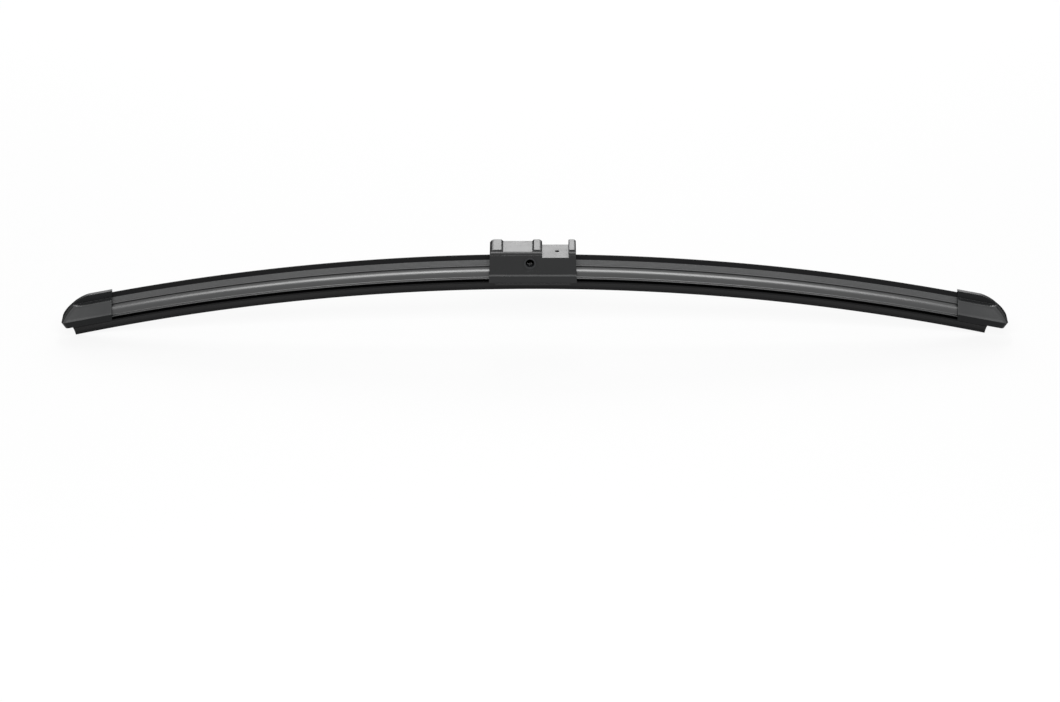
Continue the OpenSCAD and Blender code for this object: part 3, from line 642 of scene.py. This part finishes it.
class WIPER_OT_caps(bpy.types.Operator):
    """Moulds the two end caps: arched nose, fin, ledges, side panels and the open sockets"""
    bl_idname = "wiper.caps"
    bl_label = "End caps"

    def execute(self, context):
        s = context.scene.wiper_cap
        bow = context.scene.wiper_bow
        finish = context.scene.wiper_finish
        # The fin, the nose and the underside come from a polished tool, dark where they mirror little
        smooth = moulded_material("polyamide_moulded_smooth", finish.end_cap, roughness=0.36,
                                  grain=0.2 * MM, depth=0.006 * MM, specular=0.16, edge_radius=0.3 * MM)
        # Spark erosion leaves a fine even grain, which scatters light and looks paler
        grained = moulded_material("polyamide_spark_eroded", finish.cap_panel, roughness=0.32,
                                   grain=0.16 * MM, depth=0.02 * MM, specular=0.62, edge_radius=0.9 * MM)
        # The right cap is seated at its place on the bow, and the left one is its mirror image
        turn = s.start / bow.radius
        crown = Matrix.Translation((bow.crown, 0.0, -bow.drop - bow.radius))
        seat = crown @ Matrix.Rotation(turn, 4, "Y") @ Matrix.Translation((0.0, 0.0, bow.radius))
        flip = crown @ Matrix.Scale(-1.0, 4, (1, 0, 0)) @ crown.inverted()
        for node, side in (("end_cap_left", -1), ("end_cap_right", 1)):
            piece = self.outside(node + "_moulding", s, math.tan(turn), [smooth, grained],
                                 flip @ seat if side < 0 else seat)
            cut(piece, self.sockets(context, side))
            hand_over(piece, node)
        return {"FINISHED"}

    @staticmethod
    def rows(s):
        """Heights of the mesh's rows, with close rows along the panels' rims."""
        low, high = s.edge_height + s.rim, s.ledge_height - s.rim
        panel_rows, fin_rows = 12, 16
        panel, fin = high - low - 2 * s.slope, s.height - s.fin_foot_height
        return [-s.foot_drop, s.edge_height, low,
                *(low + s.slope + panel * i / panel_rows for i in range(panel_rows + 1)),
                high, s.ledge_height,
                *(s.fin_foot_height + fin * i / fin_rows for i in range(fin_rows + 1))]

    @staticmethod
    def front(s, z):
        """Where the nose ends at a height: an arc down to the widest edge, and a lean back below it."""
        if z < s.edge_height:
            return between(z, [(-s.foot_drop, s.reach - s.tip_lean), (s.edge_height, s.reach)])
        top = Vector((s.nose_start, s.height))
        chord = Vector((s.reach, s.edge_height)) - top
        away = math.sqrt(s.nose_radius ** 2 - (chord.length / 2) ** 2)
        centre = top + chord / 2 + away * Vector((chord.y, -chord.x)).normalized()
        return centre.x + math.sqrt(s.nose_radius ** 2 - (z - centre.y) ** 2)

    @staticmethod
    def half_widths(s, z):
        """Half widths at a height: of the sides, which slope on past the ledges, and of the cap."""
        slope = (s.edge_width / 2 - s.ledge_width / 2) / (s.ledge_height - s.edge_height)
        if z < s.edge_height:
            sides = between(z, [(-s.foot_drop, s.foot_width / 2), (s.edge_height, s.edge_width / 2)])
        else:
            sides = s.edge_width / 2 - slope * (z - s.edge_height)
        if z <= s.ledge_height:
            return sides, sides
        return sides, between(z, [(s.ledge_height, s.ledge_width / 2),
                                  (s.fin_foot_height, s.fin_foot / 2), (s.height, s.fin_top / 2)])

    def half_ring(self, s, z, lean):
        """Half outline at a height, from the nose to the inner end, as (x, y, in the grained columns)."""
        # Steps round the nose's corner, the one where the panel starts, and the part its slope takes
        nose_steps, panel_step, slope_share = 16, 8, 0.4
        # A column this far behind the corner keeps the shading of the straight side even
        support_gap = 0.5 * MM
        front = self.front(s, z)
        sides, width = self.half_widths(s, z)
        rise = max(0.0, (z - s.edge_height) / (s.ledge_height - s.edge_height))
        corner = min(sides, s.tip_corner + (s.ledge_width / 2 - s.tip_corner) * rise)
        last = math.asin(min(1.0, (width - sides + corner) / corner))
        in_panel = s.edge_height + s.rim < z - HAIR and z + HAIR < s.ledge_height - s.rim
        steps = sorted([*range(nose_steps + 1), panel_step + slope_share])
        ring = []
        for step in steps:
            grained = step > panel_step
            turn = last * step / nose_steps
            reach = corner - (s.sink if grained and in_panel else 0.0)
            ring.append((front - corner + reach * math.cos(turn), sides - corner + reach * math.sin(turn),
                         grained))
        # The inner end is cut square to the glass, and the rim and its slope follow it
        inner = -z * lean
        columns = ((ring[-1][0] - support_gap, in_panel), (inner + s.rim + s.slope, in_panel),
                   (inner + s.rim, False), (inner, False))
        return ring + [(x, width - (s.sink if sunk else 0.0), True) for x, sunk in columns]

    def outside(self, name, s, lean, materials, matrix):
        """The closed outer form, with its sides and ledges in the second material."""
        mesh_builder = bmesh.new()
        grid = []
        rows = self.rows(s)
        for z in rows:
            half = self.half_ring(s, z, lean)
            ring = [(x, -y, grained) for x, y, grained in reversed(half)] + half
            grid.append([(mesh_builder.verts.new((x, y, z)), grained) for x, y, grained in ring])
        for height, lower, upper in zip(rows, grid, grid[1:]):
            side_or_ledge = s.edge_height - HAIR < height < s.ledge_height + HAIR
            for i in range(len(lower) - 1):
                corners = (lower[i], lower[i + 1], upper[i + 1], upper[i])
                face = mesh_builder.faces.new([vert for vert, _ in corners])
                face.material_index = int(side_or_ledge and all(grained for _, grained in corners))
        for rim in (grid[0], grid[-1], [row[0] for row in grid] + [row[-1] for row in reversed(grid)]):
            mesh_builder.faces.new([vert for vert, _ in rim])
        for face in mesh_builder.faces:
            face.smooth = True
        bmesh.ops.transform(mesh_builder, matrix=matrix, verts=mesh_builder.verts)
        bmesh.ops.remove_doubles(mesh_builder, verts=mesh_builder.verts, dist=HAIR / 10)
        return link(name, finished_mesh(mesh_builder, name), materials)

    @staticmethod
    def sockets(context, side):
        """Cutters for the sockets of the spoiler, the rails and the rubber."""
        s = context.scene.wiper_cap
        bow = context.scene.wiper_bow
        spoiler = context.scene.wiper_spoiler
        rubber = context.scene.wiper_rubber
        # The cutters start this far before the inner end, and reach this far below the underside
        lead_in, overshoot = 6 * MM, 2 * MM
        before = s.start - lead_in

        def turns(end):
            return sorted((side * before / bow.radius, side * end / bow.radius))

        def outline(half):
            return rounded(both_sides([(y, z, 0.0, 0) for y, z in half]))

        gap = s.play
        foot = spoiler.platform_height - spoiler.platform_edge
        lip_top = spoiler.lip_height - spoiler.foot_drop
        spoiler_socket = [
            (spoiler.fin_tip / 2 + gap, spoiler.fin_height + gap),
            (spoiler.fin_foot / 2 + gap, spoiler.fin_foot_height + gap),
            (spoiler.platform_width / 2 + gap, spoiler.platform_height + gap),
            (spoiler.platform_width / 2 + gap, foot),
            (spoiler.platform_width / 2 - spoiler.seam_depth + gap, (foot + spoiler.shoulder_height) / 2),
            *shoulder_arc(spoiler, steps=10, play=gap),
            (spoiler.flank_width / 2 + gap, lip_top + spoiler.lip_rise + gap),
            (spoiler.lip_width / 2 + gap, lip_top + gap),
            (spoiler.lip_width / 2 + gap, -spoiler.foot_drop - gap),
        ]
        rail_slot = [(spoiler.slot_width / 2, spoiler.slot_height),
                     (spoiler.slot_width / 2, -spoiler.slot_height)]
        rubber_channel = [
            (rubber.head_width / 2 + s.rubber_play, rubber.head_top + s.rubber_play),
            (rubber.head_width / 2 + s.rubber_play, 0.0),
            (rubber.bar_width / 2 + s.rubber_play, 0.0),
            (rubber.bar_width / 2 + s.rubber_play, -s.foot_drop - overshoot),
        ]
        return [swept("spoiler_socket", outline(spoiler_socket), turns(s.start + s.spoiler_depth), []),
                swept("rail_slot", outline(rail_slot), turns(s.rail_end), []),
                swept("rubber_channel", outline(rubber_channel), turns(s.start + s.rubber_depth), [])]


class WIPER_OT_housing(bpy.types.Operator):
    """Gives the connector housing its satin moulded skin"""
    bl_idname = "wiper.housing"
    bl_label = "Connector housing"

    def execute(self, context):
        # Glass-filled nylon fills the tool closely, so flat faces look satin and even
        material = moulded_material("nylon_glass_filled_moulded", context.scene.wiper_finish.housing,
                                    roughness=0.3, grain=0.12 * MM, depth=0.004 * MM,
                                    specular=0.38, edge_radius=0.25 * MM)
        finish_node("connector_housing", material)
        return {"FINISHED"}


class WIPER_OT_bushes(bpy.types.Operator):
    """Turns the two flanged bushes of the pin bore"""
    bl_idname = "wiper.bushes"
    bl_label = "Bearing bushes"

    def execute(self, context):
        s = context.scene.wiper_bush
        # Acetal is dense and slippery, with a smooth greyish sheen
        material = moulded_material("acetal_turned_smooth", context.scene.wiper_finish.bush,
                                    roughness=0.42, grain=0.3 * MM, depth=0.004 * MM, specular=0.4)
        # Small chamfer that softens the flange's outer edge
        soft = 0.12 * MM
        profile = [
            (s.bore / 2, s.depth),
            (s.bore / 2, s.chamfer),
            (s.bore / 2 + s.chamfer, 0.0),
            (s.flange / 2 - soft, 0.0),
            (s.flange / 2, soft),
            (s.flange / 2, s.flange_thickness),
            (s.outside / 2, s.flange_thickness),
            (s.outside / 2, s.depth),
        ]
        for node, side in (("bearing_bush_front", -1), ("bearing_bush_rear", 1)):
            matrix = Matrix.Translation((0, side * s.face, 0)) @ Matrix.Rotation(
                math.radians(side * 90), 4, "X")
            piece = turned(node + "_turning", profile, matrix, [material])
            hand_over(piece, node)
        return {"FINISHED"}


class WIPER_OT_carriers(bpy.types.Operator):
    """Gives the steel rails and the connector base their finishes"""
    bl_idname = "wiper.carriers"
    bl_label = "Rails and base"

    def execute(self, context):
        finish = context.scene.wiper_finish
        steel = rolled_steel_material(finish.rail)
        # The hidden base comes from a plain tool, duller than the housing
        plain = moulded_material("nylon_moulded_plain", finish.base, roughness=0.5,
                                 grain=0.2 * MM, depth=0.015 * MM)
        finish_node("spring_rail_front", steel)
        finish_node("spring_rail_rear", steel)
        finish_node("connector_base", plain)
        return {"FINISHED"}


class WIPER_OT_stage(bpy.types.Operator):
    """Sets up the floor, the world, the lamps and the camera"""
    bl_idname = "wiper.stage"
    bl_label = "Studio"

    def execute(self, context):
        studio = context.scene.wiper_studio
        self.floor(studio, srgb(context.scene.wiper_finish.floor))
        self.dark_card(studio)
        self.world(context.scene)
        self.lamps()
        self.camera(context.scene, studio)
        context.scene.view_settings.view_transform = "Standard"
        return {"FINISHED"}

    @staticmethod
    def floor(studio, colour):
        """A pale floor under the rubber's ends that stays near white and keeps the shadow."""
        # The glow gives most of the white, and the paint under it shows the shadow
        glow_share = 0.86
        low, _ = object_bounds()
        half = studio.floor_size / 2
        mesh = bpy.data.meshes.new("floor")
        mesh.from_pydata([(-half, -half, low.z), (half, -half, low.z), (half, half, low.z),
                          (-half, half, low.z)], [], [(0, 1, 2, 3)])
        material, tree = new_material("painted_floor_white")
        share = add(tree, "ShaderNodeMath", {0: seen_directly(tree), 1: glow_share},
                    operation="MULTIPLY")
        paint = add(tree, "ShaderNodeBsdfDiffuse", {"Color": colour})
        glow = add(tree, "ShaderNodeEmission", {"Color": WHITE, "Strength": 1.0})
        mix = add(tree, "ShaderNodeMixShader", {0: share, 1: paint, 2: glow})
        finish_material(tree, mix)
        link("floor", mesh, [material])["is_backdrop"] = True

    @staticmethod
    def dark_card(studio):
        """A bent black card behind the blade, seen only in gloss, where it outlines rounded edges."""
        low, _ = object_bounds()
        half, near, back = studio.card_length / 2, studio.card_start, studio.card_distance
        # The card lies just over the floor, then stands up
        foot, top = low.z + 1 * MM, studio.card_height
        black = (0.004, 0.004, 0.004, 1.0)
        mesh = bpy.data.meshes.new("dark_card")
        mesh.from_pydata([(-half, near, foot), (half, near, foot), (half, back, foot),
                          (-half, back, foot), (half, back, top), (-half, back, top)],
                         [], [(0, 1, 2, 3), (3, 2, 4, 5)])
        material, tree = new_material("card_black_velvet")
        finish_material(tree, add(tree, "ShaderNodeBsdfDiffuse", {"Color": black}))
        card = link("dark_card", mesh, [material])
        card.visible_camera = card.visible_diffuse = card.visible_shadow = False
        card.visible_transmission = False
        card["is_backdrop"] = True

    @staticmethod
    def world(scene):
        """White to the camera and in reflections, and a plain grey fill to everything else."""
        fill_strength = 0.3
        world = bpy.data.worlds.new("studio")
        scene.world = world
        world.use_nodes = True
        tree = world.node_tree
        tree.nodes.clear()
        fill = add(tree, "ShaderNodeBackground", {"Color": WHITE, "Strength": fill_strength})
        white = add(tree, "ShaderNodeBackground", {"Color": WHITE, "Strength": 1.0})
        mix = add(tree, "ShaderNodeMixShader", {0: seen_directly(tree), 1: fill, 2: white})
        add(tree, "ShaderNodeOutputWorld", {"Surface": mix})

    @staticmethod
    def lamps():
        """Soft lamps round the blade."""
        # Name, degrees from overhead towards the front, distance, length and width in metres, and
        # brightness, where 1 is the floor's white
        rows = (
            ("strip_overhead", 50, 1.3, 1.0, 0.46, 7.9),
            ("panel_behind", -62, 1.6, 1.7, 0.6, 4.3),
            ("strip_over_the_back", -38, 1.5, 0.3, 0.5, 10.0),
        )
        for name, turn, away, size_x, size_y, brightness in rows:
            lamp = bpy.data.lights.new(name, "AREA")
            lamp.shape = "RECTANGLE"
            lamp.size, lamp.size_y = size_x, size_y
            lamp.energy = brightness * math.pi * size_x * size_y
            holder = bpy.data.objects.new(name, lamp)
            bpy.context.scene.collection.objects.link(holder)
            holder.rotation_euler = (math.radians(turn), 0.0, 0.0)
            holder.location = holder.rotation_euler.to_matrix() @ Vector((0.0, 0.0, away))
            holder.visible_camera = False

    @staticmethod
    def camera(scene, studio):
        """A long lens in front of the blade, framed so that the bore lies where the photograph has it."""
        scale = studio.pixels_per_mm / MM
        shift_down = (PHOTO_HEIGHT_PX / 2 - BORE_PX[1]) / scale
        shift_right = (PHOTO_WIDTH_PX / 2 - BORE_PX[0]) / scale
        aim = Vector((shift_right, -studio.near_face, -shift_down / math.cos(studio.elevation)))
        back = Vector((0, -math.cos(studio.elevation), math.sin(studio.elevation)))
        data = bpy.data.cameras.new("camera")
        data.sensor_width = 36.0
        data.lens = data.sensor_width * studio.distance * scale / PHOTO_WIDTH_PX
        data.clip_start, data.clip_end = 0.1, 50.0
        camera = bpy.data.objects.new("camera", data)
        scene.collection.objects.link(camera)
        camera.location = aim + back * studio.distance
        camera.rotation_euler = (-back).to_track_quat("-Z", "Y").to_euler()
        scene.camera = camera


class WIPER_PT_panel(bpy.types.Panel):
    """Buttons for the wiper blade's pieces and studio"""
    bl_label = "Wiper blade"
    bl_idname = "WIPER_PT_panel"
    bl_space_type = "VIEW_3D"
    bl_region_type = "UI"
    bl_category = "Wiper"

    def draw(self, context):
        for operator in OPERATORS:
            self.layout.operator(operator.bl_idname)
        for group in GROUPS:
            box = self.layout.box()
            box.label(text=group[1].__doc__)
            for name in group[1].__annotations__:
                box.prop(getattr(context.scene, group[0]), name)


GROUPS = (
    ("wiper_bow", WiperBowSizes),
    ("wiper_spoiler", WiperSpoilerSizes),
    ("wiper_rubber", WiperRubberSizes),
    ("wiper_cap", WiperCapSizes),
    ("wiper_bush", WiperBushSizes),
    ("wiper_finish", WiperFinish),
    ("wiper_studio", WiperStudio),
)
OPERATORS = (
    WIPER_OT_stage,
    WIPER_OT_spoilers,
    WIPER_OT_rubber,
    WIPER_OT_caps,
    WIPER_OT_housing,
    WIPER_OT_bushes,
    WIPER_OT_carriers,
)


def register():
    """Registers the classes and hangs the settings on the scene."""
    for name, group in GROUPS:
        bpy.utils.register_class(group)
        setattr(bpy.types.Scene, name, PointerProperty(type=group))
    for cls in (*OPERATORS, WIPER_PT_panel):
        bpy.utils.register_class(cls)


def unregister():
    """Takes everything off again, in reverse order."""
    for cls in (WIPER_PT_panel, *reversed(OPERATORS)):
        bpy.utils.unregister_class(cls)
    for name, group in reversed(GROUPS):
        delattr(bpy.types.Scene, name)
        bpy.utils.unregister_class(group)


def main():
    """Registers the add-on and builds everything."""
    register()
    bpy.ops.wiper.stage()
    bpy.ops.wiper.spoilers()
    bpy.ops.wiper.rubber()
    bpy.ops.wiper.caps()
    bpy.ops.wiper.housing()
    bpy.ops.wiper.bushes()
    bpy.ops.wiper.carriers()


if __name__ == "__main__":
    main()
